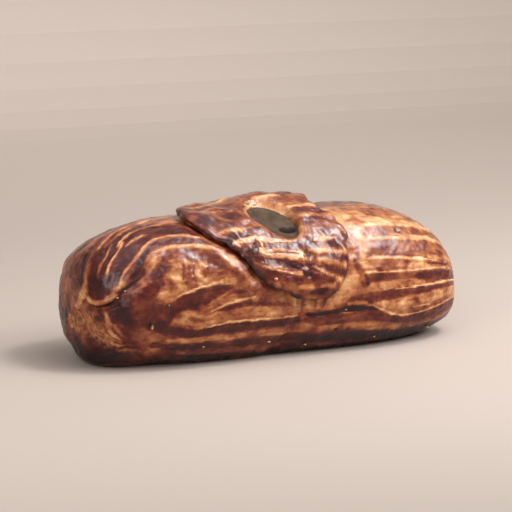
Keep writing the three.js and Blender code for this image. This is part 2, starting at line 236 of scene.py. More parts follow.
def crustRelief(ring, girth, fine, tone=0.5):
    x, y, z = bodyPoint(ring, girth)
    distance = distanceAt(girth)
    bearing, length = fromChimney(x, distance)
    reach = patchReach(bearing)
    cover = ease(reach + 2, reach - 4, length)
    flat = ease(0, 7, z)
    h = relief["lumps"] * lumps(x, y, z, relief["lumpSize"]) * (1 - relief["calmUnderPatch"] * cover)

    # the crust is pressed in along the patch's left edge and swells beside it
    past = length - reach
    side = facing(bearing, *patchLeft)
    h -= relief["pressed"] * side * bell(past, -2, 4)
    h += relief["swell"] * side * bell(past, 9, 5)

    # a slanting crease below the patch, with ripples right of it
    creaseX = relief["creaseX"] - 0.5 * np.maximum(distance - 74, 0)
    below = ease(66, 76, distance) * ease(130, 100, distance)
    h -= relief["crease"] * bell(x, creaseX, 5) * below
    h += relief["ripple"] * np.sin((x - creaseX) / 2.6) * bell(x, creaseX + 22, 16) * below

    # folded left end: a rounded tongue from the top over torn dough and a thick lower lip
    fold = ease(-74, -98, x) * (x < -60)
    tongueGap = strokeGap(y, z, endShapes["tongue"])
    tongue = ease(1.4, -1.4, tongueGap)
    nearFlap = ease(1.5, -2.5, strokeGap(y, z, endShapes["nearFlap"])) * (1 - tongue)
    torn = ease(3, -3, strokeGap(y, z, endShapes["torn"])) * (1 - tongue) * (1 - nearFlap)
    tornSide = ease(2, -2, strokeGap(y, z, endShapes["tornSide"])) * (1 - tongue)
    seam = bell(tongueGap, 1.8, 1.5)
    h += fold * (relief["tongue"] * tongue - relief["torn"] * torn - relief["tornSide"] * tornSide
                 + relief["nearFlap"] * nearFlap - relief["seam"] * seam)
    if fine:
        h -= relief["glaze"] * (tone - 0.5) * flat * (1 - cover)
        h += relief["coarse"] * grain(x, y, z, 8, 3, 1.0) + relief["small"] * grain(x, y, z, 2.8, 2, 5.0)
        rightOfPatch = bell(x, 46, 8) * ease(95, 70, distance) * ease(-30, 0, distance)
        wrinkled = bell(x, 10, 24) * below + 0.8 * rightOfPatch + 0.7 * bell(past, 7, 6) * side
        h += relief["wrinkle"] * wrinkled * (0.35 - np.abs(grain(x / 1.7, distance / 9, 0 * x, 1, 3, 8.0)))
        crackled = bell(x, -60, 22) * bell(distance, 55, 11)
        h -= relief["crackle"] * crackled * bell(grain(x / 2.6, distance / 8, 0 * x, 1, 2, 11.0), 0, 0.09)
        along, across = shredCourse(y, z)
        shreds = relief["shreds"] * grain(along / 2, across, 0 * x, 2.6, 3, 2.0)
        h += fold * np.maximum(torn, tornSide) * (shreds + relief["tornLumps"] * grain(x, y, z, 5, 2, 3.0))
        foot = bell(z, 2, 4) * (1 - bell(z, 0, 0.2))
        h += relief["foot"] * foot * grain(x, y, 0 * z, 4, 3, 4.0)
        for px, ps, radius, height in crustDents:
            h += height * bell(np.hypot(x - px, distance - ps), 0, radius)
    return h * (0.25 + 0.75 * flat)


def crustPoint(ring, girth, extra, fine=False, tone=0.5):
    x, y, z = bodyPoint(ring, girth)
    n = normalAt(ring, girth)
    rise = crustRelief(ring, girth, fine, tone) + extra
    place = np.stack([x, y, z], 1) + n * np.broadcast_to(rise, x.shape)[:, None]
    # the thick lower lip of the folded end spreads outward along the board
    spread = lip["shelf"] * ease(24, 10, z) + lip["spread"] * ease(13, -5, z) ** lip["power"]
    spread = spread * ease(-76, -94, x) * ease(-38, -24, y) * ease(44, 24, y)
    spread = spread + lip["roll"] * ease(3, -3, strokeGap(y, z, endShapes["lip"])) * ease(-80, -100, x)
    place[:, 0] -= spread
    place[:, 1] += spread * np.where(n[:, 1] > 0, lip["farShare"], lip["nearShare"]) * n[:, 1]
    place[:, 2] = np.maximum(place[:, 2], 0)
    return place


def toFrame(places):
    # millimetres about the loaf's own middle to metres in the CAD frame
    return (places + np.array([loaf["middleX"], loaf["middleY"], 0.0])) * millimetre


def deselect():
    bpy.ops.object.select_all(action="DESELECT")


def readPlaces(piece):
    places = np.empty(len(piece.data.vertices) * 3)
    piece.data.vertices.foreach_get("co", places)
    return places.reshape(-1, 3)


def writePlaces(piece, places):
    piece.data.vertices.foreach_set("co", places.reshape(-1))
    piece.data.update()


def paint(piece, name, values):
    layer = piece.data.attributes.new(name, "FLOAT", "POINT")
    layer.data.foreach_set("value", np.asarray(values, dtype=np.float32))


def finishPiece(piece, name, material):
    piece.name = name
    piece.data.name = name
    deselect()
    piece.select_set(True)
    bpy.context.view_layer.objects.active = piece
    bpy.ops.object.mode_set(mode="EDIT")
    bpy.ops.mesh.select_all(action="SELECT")
    bpy.ops.mesh.normals_make_consistent(inside=False)
    bpy.ops.object.mode_set(mode="OBJECT")
    bpy.ops.object.shade_smooth()
    piece.data.materials.clear()
    piece.data.materials.append(material)


# camera, at the photograph's angle: focal length and image places are in pixels
view = {"azimuth": -24.0, "elevation": 11.5, "distance": 1.25, "focal": 2012.0,
        "imageX": 261.0, "imageY": 276.0, "imageSize": 512, "sensor": 36, "targetHeight": 0.0433}


def makeCamera():
    a = math.radians(view["azimuth"])
    e = math.radians(view["elevation"])
    back = Vector((math.sin(a) * math.cos(e), -math.cos(a) * math.cos(e), math.sin(e)))
    right = Vector((math.cos(a), math.sin(a), 0))
    up = back.cross(right)
    centre = view["imageSize"] / 2
    aside = (view["imageX"] - centre) * view["distance"] / view["focal"]
    below = (view["imageY"] - centre) * view["distance"] / view["focal"]
    target = Vector((loaf["middleX"] * millimetre, loaf["middleY"] * millimetre, view["targetHeight"]))
    place = target + back * view["distance"] - right * aside + up * below
    bpy.ops.object.camera_add(location=place)
    camera = bpy.context.object
    camera.name = "studioCamera"
    camera.rotation_euler = back.to_track_quat("Z", "Y").to_euler()
    camera.data.sensor_width = view["sensor"]
    camera.data.lens = view["focal"] * view["sensor"] / view["imageSize"]
    bpy.context.scene.camera = camera


makeCamera()
print("stage: camera")


# shader maths, written as expressions
class Wire:
    def __init__(self, tree, socket):
        self.tree = tree
        self.socket = socket

    def math(self, operation, *others):
        return addNode(self.tree, "ShaderNodeMath", {"operation": operation}, [self, *others])

    def __add__(self, other):
        return self.math("ADD", other)

    def __sub__(self, other):
        return self.math("SUBTRACT", other)

    def __mul__(self, other):
        return self.math("MULTIPLY", other)

    def __rsub__(self, other):
        return addNode(self.tree, "ShaderNodeMath", {"operation": "SUBTRACT"}, [other, self])

    def __abs__(self):
        return self.math("ABSOLUTE")

    def clamp(self):
        return self.math("MAXIMUM", 0.0).math("MINIMUM", 1.0)

    def ramp(self, low, high):
        # soft step from 0 at low to 1 at high
        settings = {"interpolation_type": "SMOOTHSTEP"}
        values = {"Value": self, "From Min": low, "From Max": high}
        return addNode(self.tree, "ShaderNodeMapRange", settings, values)


def addNode(tree, kind, settings, values, out=0):
    made = tree.nodes.new(kind)
    for key, value in settings.items():
        if key == "stops":
            elements = made.color_ramp.elements
            while len(elements) > len(value):
                elements.remove(elements[-1])
            while len(elements) < len(value):
                elements.new(0.5)
            for element, (position, colour) in zip(elements, value):
                element.position = position
                element.color = (*colour, 1)
        else:
            setattr(made, key, value)
    pairs = values.items() if isinstance(values, dict) else enumerate(values)
    for key, value in pairs:
        if isinstance(value, Wire):
            tree.links.new(value.socket, made.inputs[key])
        else:
            made.inputs[key].default_value = value
    return Wire(tree, made.outputs[out])


def newMaterial(name, constants):
    material = bpy.data.materials.new(name)
    material.use_nodes = True
    tree = material.node_tree
    shader = tree.nodes["Principled BSDF"]
    for key, value in constants.items():
        shader.inputs[key].default_value = value
    return material, tree, shader


def plug(tree, shader, key, wire):
    tree.links.new(wire.socket, shader.inputs[key])


def field(tree, attribute):
    return addNode(tree, "ShaderNodeAttribute", {"attribute_name": attribute}, {}, 2)


def objectPlace(tree):
    return addNode(tree, "ShaderNodeTexCoord", {}, {}, 3)


def speckle(tree, place, scale, detail=3.0, stretch=(1, 1, 1), rough=0.55):
    moved = addNode(tree, "ShaderNodeMapping", {}, {"Vector": place, "Scale": stretch})
    values = {"Vector": moved, "Scale": scale, "Detail": detail, "Roughness": rough}
    return addNode(tree, "ShaderNodeTexNoise", {}, values)


def mixColour(tree, share, first, second):
    values = {0: share, 6: first, 7: second}
    return addNode(tree, "ShaderNodeMix", {"data_type": "RGBA"}, values, 2)


glazeLook = {
    "cream": (0.84, 0.54, 0.30), "pale": (0.62, 0.30, 0.125), "gold": (0.41, 0.145, 0.052),
    "russet": (0.225, 0.052, 0.021), "brown": (0.105, 0.016, 0.010), "dark": (0.045, 0.007, 0.007),
    "char": (0.018, 0.006, 0.006), "stops": (0.0, 0.17, 0.35, 0.53, 0.7, 0.87, 1.0),
    "torn": (0.62, 0.25, 0.1), "tornGreen": (0.28, 0.14, 0.05), "tornDeep": (0.12, 0.026, 0.013),
    "coatRoughness": 0.34, "coatIndex": 1.48, "specular": 0.27, "roughness": 0.3,
    "washSmooths": 0.12, "mottleRoughens": 0.2, "bareRoughens": 0.3, "bareDulls": 0.7, "leastWash": 0.12,
    "mottle": 1.05, "drift": 0.2,
    "bump": 0.0009, "bumpStrength": 0.8,
}


def eggWash(share):
    # a little wash is left everywhere
    return glazeLook["leastWash"] + (1 - glazeLook["leastWash"]) * share


def glazedCrust(name, look):
    material, tree, shader = newMaterial(name, {
        "Coat Roughness": look["coatRoughness"], "Coat IOR": look["coatIndex"],
        "Specular IOR Level": look["specular"]})
    place = objectPlace(tree)
    tone = field(tree, "glazeTone")
    bare = field(tree, "bareDough")
    wash = field(tree, "eggWash")
    # the brush's own lines run along each stroke, in millimetres
    course = [field(tree, "strokeAlong") * 0.12, field(tree, "strokeAcross"), 0.0]
    brush = addNode(tree, "ShaderNodeCombineXYZ", {}, course)
    # patterns from about -0.5 to 0.5, finer as their scale grows
    bristle = speckle(tree, brush, 0.85, 3) - 0.5
    broad = speckle(tree, brush, 0.3, 2, rough=0.5) - 0.5
    mottle = speckle(tree, place, 140, 3, (0.8, 1, 1), 0.5) - 0.5
    grit = speckle(tree, place, 480, 3) - 0.5
    tiny = speckle(tree, place, 1300, 2) - 0.5
    drift = speckle(tree, place, 30, 2) - 0.5
    waves = speckle(tree, place, 230, 3, (0.6, 1, 1), 0.5) - 0.5
    blotch = speckle(tree, place, 420, 3, (0.6, 1, 1), 0.5).ramp(0.53, 0.62)

    # the glaze is blotchiest where it is neither bare nor burnt
    loose = (1 - abs(tone - 0.4) * 1.2).math("MAXIMUM", 0.35)
    uneven = mottle * look["mottle"] + bristle * 0.08 + broad * 0.3 + blotch * 0.1 - 0.03
    bake = (tone + uneven * loose + drift * look["drift"]).clamp()
    shades = [look[key] for key in ("cream", "pale", "gold", "russet", "brown", "dark", "char")]
    colour = addNode(tree, "ShaderNodeValToRGB", {"stops": list(zip(look["stops"], shades))}, [bake])
    fibre = (mottle * 1.4 + grit * 1.6 + bristle * 3.0 + 0.5).clamp()
    dough = mixColour(tree, fibre, (*look["torn"], 1), (*look["tornDeep"], 1))
    dough = mixColour(tree, (drift * 1.4 + tiny * 0.6).clamp(), dough, (*look["tornGreen"], 1))
    plug(tree, shader, "Base Color", mixColour(tree, (bare + mottle * bare).clamp(), colour, dough))

    # a sharp gloss everywhere, and a broad sheen where the egg wash lies thick on top
    shine = ((bake - 0.05) * 1.5).clamp()
    rough = look["roughness"] - wash * look["washSmooths"] + mottle * look["mottleRoughens"]
    plug(tree, shader, "Roughness", rough + bare * look["bareRoughens"])
    plug(tree, shader, "Coat Weight", (shine * 0.2 + 0.8) * wash * (1 - bare * look["bareDulls"]))
    height = tiny * 0.2 + grit * 0.2 + bristle * 0.05 + mottle * 0.5 + waves * 0.8 - tone * 0.2
    height = height + bare * (mottle + grit + bristle) * 1.5
    values = {"Strength": look["bumpStrength"], "Distance": look["bump"], "Height": height}
    plug(tree, shader, "Normal", addNode(tree, "ShaderNodeBump", {}, values))
    return material


crustFinish = glazedCrust("bakedCrustGlaze", glazeLook)
patchFinish = glazedCrust("patchGlaze", glazeLook)
print("stage: glaze materials")


# the glaze is brushed on: each stroke is tone (0 cream to 1 burnt), soft edge and
# its course, as place along the loaf, distance down from the crest and half width, in mm
def brushed(tone, u, v, strokes, fray, dry):
    cover = np.clip(0.93 + 0.35 * dry, 0.5, 1)
    for strokeTone, soft, course in strokes:
        wide = max(point[2] for point in course)
        gap = strokeGap(u, v, course) + fray * min(0.2 + 0.35 * wide, 1.6)
        tone = tone + (strokeTone - tone) * ease(1.05 * soft, -0.5 * soft, gap) * cover
    return tone


rightStrokes = [
    (0.62, 4, [(44, -6, 9), (90, -6, 10), (124, -2, 8)]),
    (0.34, 1, [(40, 9, 0.8), (60, 10, 1), (90, 11, 0.8), (110, 11, 0.6)]),
    (0.3, 0.8, [(56, 4, 0.6), (80, 3, 0.8), (104, 7, 0.5)]),
    (0.7, 1.5, [(50, -3, 1.2), (75, -7, 1.6), (102, -3, 1.2)]),
    (0.24, 3, [(46, 18, 3.4), (60, 26, 5), (80, 27, 4.5), (107, 22, 3.5), (122, 16, 2)]),
    (0.46, 1.6, [(54, 13, 1.4), (75, 17, 1.8), (100, 14, 1.4)]),
    (0.42, 1.2, [(62, 22, 0.8), (82, 24, 1.2), (104, 18, 1)]),
    (0.12, 1, [(50, 33, 1), (70, 31.4, 1.2), (90, 29.6, 1), (108, 25.5, 1), (124, 20, 1)]),
    (0.55, 1.1, [(53, 37, 1.6), (62, 36.6, 2.6), (80, 35.2, 2.7), (100, 32, 2.6), (116, 27, 2.5), (128, 24, 2)]),
    (0.2, 0.9, [(50, 42, 1.3), (68, 41.2, 1.6), (90, 40, 1.8), (112, 36, 2), (128, 33, 2)]),
    (0.6, 0.5, [(54, 40.8, 0.3), (70, 39.8, 0.4), (86, 39.2, 0.2)]),
    (0.5, 1.1, [(46, 48, 2), (54, 49.2, 3.4), (70, 49.5, 3.9), (90, 48.6, 3.8), (112, 45, 3.6), (128, 41, 3)]),
    (0.03, 0.5, [(50, 54, 0.43), (66, 54.2, 0.58), (84, 54.8, 0.58), (104, 55, 0.43)]),
    (0.28, 1.4, [(98, 53, 1), (112, 51.5, 2), (128, 48, 2)]),
    (0.45, 1.2, [(47, 58, 2), (66, 58, 2.3), (84, 59, 2.2)]),
    (0.28, 1.6, [(84, 59.2, 1.4), (100, 58.5, 2.4), (117, 56.5, 3), (128, 54, 3)]),
    (0.75, 1, [(96, 57.5, 0.6), (108, 57, 0.9), (114, 56, 0.6)]),
    (0.03, 0.45, [(47, 62, 0.43), (65, 62.7, 0.58), (80, 62.7, 0.58), (94, 61.6, 0.5), (112, 59.6, 0.36)]),
    (0.62, 0.9, [(46, 66, 2.2), (66, 66, 2.4), (86, 66.3, 2.2)]),
    (0.78, 1, [(88, 66.3, 2), (104, 66.2, 3.2), (120, 64, 4), (128, 62, 4)]),
    (0.32, 1.1, [(48, 70, 0.8), (60, 70.2, 2), (76, 70.5, 2.4), (92, 70.2, 1.2)]),
    (0.05, 0.5, [(62, 73.3, 0.29), (80, 73.6, 0.58), (94, 72.6, 0.65), (108, 71.2, 1), (128, 69, 1.3)]),
    (0.72, 0.9, [(30, 80, 1), (44, 77.6, 2.8), (58, 77.4, 3.4), (72, 77, 2.7), (93, 76.2, 2), (106, 74.6, 1.7),
        (128, 72, 1.4)]),
    (0.3, 1.4, [(58, 82, 0.8), (68, 84, 2.6), (82, 84, 4), (96, 82, 3.6), (110, 80.5, 4), (128, 79, 4)]),
    (0.3, 0.9, [(38, 80.6, 0.8), (43, 80.2, 1.4), (49, 81, 1)]),
    (0.5, 1.2, [(84, 80, 0.8), (88, 85, 1)]),
    (1.0, 0.8, [(10, 84.4, 0.6), (20, 85.2, 1.6), (33, 84.2, 2), (44, 84, 1.8), (54, 84.6, 1.3), (60, 85, 0.4)]),
    (0.7, 1, [(8, 89, 1), (24, 89.6, 3.4), (45, 89.5, 3.6), (60, 91, 3.4), (80, 96.5, 2.8), (100, 95.6, 3.4),
        (114, 93, 3.4), (128, 90, 3)]),
    (0.06, 0.45, [(55, 83.2, 0.22), (62, 86.6, 0.36), (69, 90.3, 0.5), (77, 92.2, 0.58), (87, 92.4, 0.5),
        (98, 91, 0.43), (112, 88, 0.5), (126, 86, 0.43)]),
    (0.36, 1.2, [(20, 95, 0.8), (40, 95.8, 2.5), (58, 97, 2.8), (72, 99.5, 2.4), (86, 103, 1.2)]),
    (0.95, 0.5, [(30.6, 97.2, 0.7), (31.6, 97.3, 0.7)]),
    (0.95, 0.5, [(38.7, 97.4, 0.6), (39.6, 97.4, 0.6)]),
    (0.34, 1.6, [(98, 103.5, 1), (112, 101.5, 2.6), (126, 99, 2)]),
    (0.8, 2, [(10, 101.5, 2), (30, 102.5, 3), (60, 105.5, 3.6), (88, 110, 4), (120, 110, 3)]),
    (0.95, 0.6, [(77.3, 35.6, 0.8), (79, 36.4, 0.9)]),
    (0.0, 0.5, [(84, 87.4, 0.29), (92, 86.8, 0.43), (97, 87.6, 0.22)]),
]
beltStrokes = [
    (0.26, 4, [(34, 8, 3), (43, 20, 6), (48, 34, 6), (47, 48, 5), (43, 60, 5), (38, 69, 5), (30, 76, 4), (22, 79, 3)]),
    (0.55, 0.9, [(43, 33, 0.7), (44.4, 40, 1.1), (46, 48, 1.2), (42.5, 55, 0.9)]),
    (0.58, 1.6, [(43, 55, 2), (45.5, 61, 2.6), (49, 69, 1.6)]),
    (0.85, 0.8, [(49, 64, 0.7), (50.6, 69, 0.8)]),
    (0.36, 2.5, [(-14, 73, 4), (0, 77, 4), (16, 78, 4)]),
    (0.66, 1.2, [(8, 76, 1), (7, 82, 1.3), (4, 88, 1), (0, 96, 0.8), (-3, 103, 0.6)]),
    (0.62, 1.4, [(-22, 72, 1), (-12, 75.5, 1.2), (-2, 77, 1)]),
    (0.12, 0.8, [(2, 75, 0.6), (2.6, 80, 0.5)]),
    (0.14, 0.8, [(18, 76, 0.7), (17, 81, 0.6)]),
    (0.6, 0.8, [(22, 75, 0.6), (20.5, 81, 0.6)]),
]
leftStrokes = [
    (0.8, 3, [(-80, 14, 5), (-66, 20, 5), (-52, 25, 4)]),
    (0.25, 0.7, [(-76, 8, 0.5), (-63, 11, 0.7), (-57, 13, 0.5)]),
    (0.15, 0.8, [(-79, 25, 0.5), (-72, 24.8, 0.9), (-66, 26.5, 1.1), (-60, 29, 0.9), (-54, 31.5, 0.5)]),
    (0.78, 1, [(-78, 30, 1), (-68, 30.8, 1.9), (-60, 33, 2), (-50, 36, 1.4)]),
    (0.14, 0.8, [(-84, 35.5, 0.4), (-76, 34.2, 1.0), (-67, 34.8, 1.0), (-60, 36.2, 1.0), (-50, 39.6, 0.8),
        (-42, 42.4, 0.4)]),
    (0.66, 1.3, [(-76, 40, 2.2), (-66, 40.6, 3), (-57, 42.6, 3.2), (-49, 47, 3.2), (-44, 52, 2)]),
    (0.32, 1.2, [(-78, 46.6, 1.4), (-68, 47.2, 2), (-56, 49.6, 1.3)]),
    (0.43, 2.5, [(-74, 55, 4), (-64, 54, 5), (-54, 56, 5), (-42, 60, 4)]),
    (0.14, 1.2, [(-76, 53, 0.6), (-70, 56, 1.2)]),
    (0.14, 1, [(-62, 52, 0.8), (-56, 58, 1.1)]),
    (0.66, 0.9, [(-68.6, 48, 0.5), (-69.6, 55, 0.4)]),
    (0.58, 0.7, [(-63, 51, 0.3), (-62.4, 58, 0.4)]),
    (0.6, 0.7, [(-57, 50, 0.4), (-56.4, 56, 0.3)]),
    (0.3, 1.5, [(-80, 62, 1.4), (-75, 61, 2.2), (-70, 60.5, 1.2)]),
    (0.05, 0.6, [(-75, 67, 0.36), (-70, 64.6, 1), (-61, 62, 0.65), (-54, 60.6, 0.58), (-46, 59.6, 0.43)]),
    (0.78, 1.1, [(-84, 72, 1.5), (-76, 72, 4), (-66, 69.6, 4.6), (-56, 67, 4.2), (-47, 64.6, 3), (-40, 63, 1.4)]),
    (0.45, 1.6, [(-50, 70.6, 1.2), (-40, 67.6, 2.4), (-30, 66.6, 2.4)]),
    (0.66, 1, [(-44, 68, 0.6), (-38, 65.4, 1), (-33, 66, 0.6)]),
    (0.06, 0.55, [(-56, 77.6, 0.29), (-50, 75.8, 0.58), (-43, 73.2, 1), (-36, 71.2, 0.65), (-26, 69.8, 0.36)]),
    (0.74, 0.8, [(-57, 79, 0.6), (-48, 76.6, 1.2), (-40, 75, 1.6), (-32, 73.6, 1.4), (-22, 74.4, 1.3),
        (-12, 76.4, 0.7)]),
    (0.36, 1.3, [(-80, 81, 0.8), (-70, 81.2, 2.4), (-60, 81, 3), (-48, 80.2, 3), (-36, 79, 3), (-22, 79.6, 3),
        (-6, 80.6, 2.6), (4, 81, 1.5)]),
    (0.55, 1.5, [(-66, 80, 0.8), (-58, 82.5, 1)]),
    (0.04, 0.5, [(-61, 88, 0.29), (-54, 86.2, 0.58), (-46, 84.8, 0.65), (-34, 84.2, 1), (-14, 84.8, 0.58),
        (4, 85.2, 0.36)]),
    (0.82, 1, [(-86, 86, 2.2), (-74, 88.2, 3), (-61, 90.4, 2.4), (-48, 88.6, 2.8), (-32, 88, 2.6), (-12, 88.2, 2.6),
        (6, 88.6, 1.6)]),
    (0.38, 0.9, [(-78, 94.6, 1), (-62, 94.8, 1.8), (-46, 94.3, 1.6), (-32, 94, 1.2), (-18, 94.4, 0.8)]),
    (0.5, 1.6, [(-18, 93, 1.5), (-6, 94, 1.6), (2, 95, 1)]),
    (0.8, 1, [(-86, 99, 2), (-60, 99.4, 2.2), (-36, 100, 2.5), (-12, 99.6, 3), (8, 100.5, 3)]),
    (0.34, 1, [(-74, 104.6, 1), (-56, 105.6, 1.5), (-40, 105.6, 1.6), (-20, 106.6, 1.4), (-4, 107, 0.8)]),
    (0.44, 2, [(-60, 16, 1.6), (-52, 27, 2.6), (-45, 37, 3.2), (-36, 47, 3.6), (-27, 56, 4), (-19, 64, 4),
        (-11, 70, 3)]),
    (0.34, 1.2, [(-47, 41, 0.8), (-38, 51, 1.4), (-29, 59, 1.2)]),
    (0.76, 2.2, [(-77, 42, 1.6), (-80, 46.5, 3), (-84, 52, 3.6), (-87, 58, 4), (-91, 63, 4.4), (-93, 72, 5.4),
        (-90, 80, 5.5), (-82, 78, 5)]),
    (0.98, 0.5, [(-90.6, 81.6, 0.6), (-89.6, 86.4, 0.9)]),
    (0.15, 0.4, [(-87.6, 80.6, 0.3), (-88.2, 86, 0.5)]),
]
tongueStrokes = [
    (0.8, 4, [(-80, 10, 7), (-92, 20, 11), (-104, 26, 16), (-114, 30, 22)]),
    (0.84, 2, [(-111, 50, 4), (-106, 42, 3), (-101, 34, 3), (-96, 27, 2.6), (-88, 20, 2)]),
    (0.82, 2, [(-110, 30, 2.4), (-104, 22, 2), (-98, 13, 2), (-86, 4, 2)]),
    (0.55, 1.6, [(-110, 0, 1.5), (-98, -6, 2), (-82, -12, 2)]),
    (0.22, 0.9, [(-109, 9, 0.5), (-104, 6, 0.9), (-95, 3, 1.2), (-83, -2.6, 1.1), (-70, -5, 0.8)]),
    (0.45, 1.2, [(-106, 13, 0.8), (-96, 9, 1.2), (-86, 4, 1)]),
    (0.16, 0.8, [(-101, 20, 0.3), (-98, 17, 0.7), (-90, 12, 0.9), (-79, 8.4, 0.9), (-69, 10, 0.8), (-59, 12, 0.4)]),
    (0.3, 0.9, [(-97, 24, 0.4), (-92, 21, 1), (-85, 18.6, 1.2), (-77, 18, 0.6)]),
    (0.24, 0.8, [(-106, 53, 0.4), (-104, 46, 0.8), (-101, 42, 0.9), (-96, 38, 1), (-91, 33, 1), (-84, 27, 0.9),
        (-79, 25, 0.6)]),
    (0.24, 0.8, [(-113, 43, 0.8), (-111, 36, 1), (-107, 29, 1), (-102, 24.6, 0.9), (-97, 18.6, 0.5)]),
    (0.36, 0.8, [(-115.5, 29, 0.8), (-112, 24, 0.9), (-108, 21, 0.8), (-103, 15, 0.4)]),
    (0.96, 1, [(-98, 48, 1.4), (-94.6, 43, 2), (-91, 38, 1.8), (-87, 33.6, 1)]),
    (0.32, 1.3, [(-112, 60, 0.8), (-105, 58, 1), (-99, 53.6, 1.3), (-92, 48.4, 1.5), (-86, 43.6, 1.7),
        (-82, 39, 2.6), (-80, 36, 1.6)]),
    (0.34, 1.2, [(-101, 63, 1), (-95, 59, 1.6), (-90, 55, 1.4)]),
]
# the end itself, as across, height and half width
endStrokes = [
    (0.62, 3, [(0, 60, 8), (2, 46, 12), (2, 36, 9), (10, 22, 6)]),
    (0.5, 2.5, [(4, 52, 2.5), (5, 40, 3)]),
    (0.5, 1.5, [(-4, 44, 1.2), (-2, 36, 1.5)]),
    # painted shadow: a dark band on the far flap beside the tongue's raised edge
    (0.9, 1.6, [(-3, 70, 1.5), (-6, 62, 2.4), (-8, 53, 1.8)]),
    (0.24, 1.2, [(-11, 62, 0.6), (-13, 54, 1.4), (-13.6, 48, 2), (-12, 42, 2), (-8, 37, 1.2)]),
    (0.2, 1.2, [(1, 30, 1), (-3, 27, 1.6), (-2, 24, 1)]),
    (0.72, 3, [(-41, 48, 7), (-38.5, 38, 8), (-36, 28, 6)]),
    (0.92, 1.6, [(-35, 42, 2), (-36, 34, 3)]),
    (0.72, 2, [(-38, 24, 3), (-36, 16, 3)]),
    (0.22, 0.9, [(-29.6, 37, 0.5), (-30.6, 31, 1), (-29.4, 25, 1), (-31.5, 19, 0.7)]),
    (0.34, 0.8, [(-32.5, 30, 0.4), (-33, 23, 0.5)]),
    (0.7, 2.5, [(-36, 8, 3), (-24, 9, 5), (-10, 10, 5.5), (6, 10, 5)]),
    (0.8, 2, [(-34, 3, 2), (-20, 3, 3), (-6, 4, 3)]),
    (0.66, 1, [(-24, 10, 0.6), (-16, 11, 1)]),
    (0.9, 1.5, [(4, 31, 2), (13, 24, 4), (24, 14, 7)]),
    (0.3, 0.7, [(-33, 12.4, 0.6), (-27, 11.6, 0.7)]),
    (1.0, 0.7, [(-33, 13.6, 0.7), (-29, 15, 1.2), (-25, 16.6, 0.7)]),
]


farBands = {"seed": 5, "count": 11, "first": -16, "apart": 9.1}


def farStrokes():
    # the sides that the photograph hides carry the same scored lines and brushed bands
    toss = random.Random(farBands["seed"])
    stations = [-122, -90, -58, -24, 8, 40, 74, 104, 127]
    made = []
    for k in range(farBands["count"]):
        middle = farBands["first"] - farBands["apart"] * k
        drift = [toss.uniform(-1.6, 1.6) for x in stations]
        course = [(x, middle + d, toss.uniform(1.6, 3.6)) for x, d in zip(stations, drift)]
        made.append((toss.uniform(0.7, 0.88), 1.3, course))
        for part in range(2):
            first = toss.randrange(0, 5)
            gold = [(x, s - w - toss.uniform(1.5, 2.5), toss.uniform(0.8, 2.2)) for x, s, w in course[first:first + 4]]
            made.append((toss.uniform(0.2, 0.36), 1.4, gold))
        line = [(x, s - w - 0.6, toss.uniform(0.3, 0.9)) for x, s, w in course[toss.randrange(0, 3):]]
        made.append((toss.uniform(0.04, 0.16), 0.5, line))
    return made


# tones of the baked loaf, from 0 cream to 1 burnt, and how much each place is darkened; the darkening of the groove,
# the foot and the low sides is painted shade
loafBakeAndShade = {
    "ground": 0.5, "groundVaries": 0.2, "rightEnd": 0.5, "leftEnd": 0.6, "rim": 0.38, "tip": 0.84,
    "seam": 0.4, "grooveShade": 0.5, "foot": 0.3, "lowLeftShade": 0.14, "low": 0.25,
}


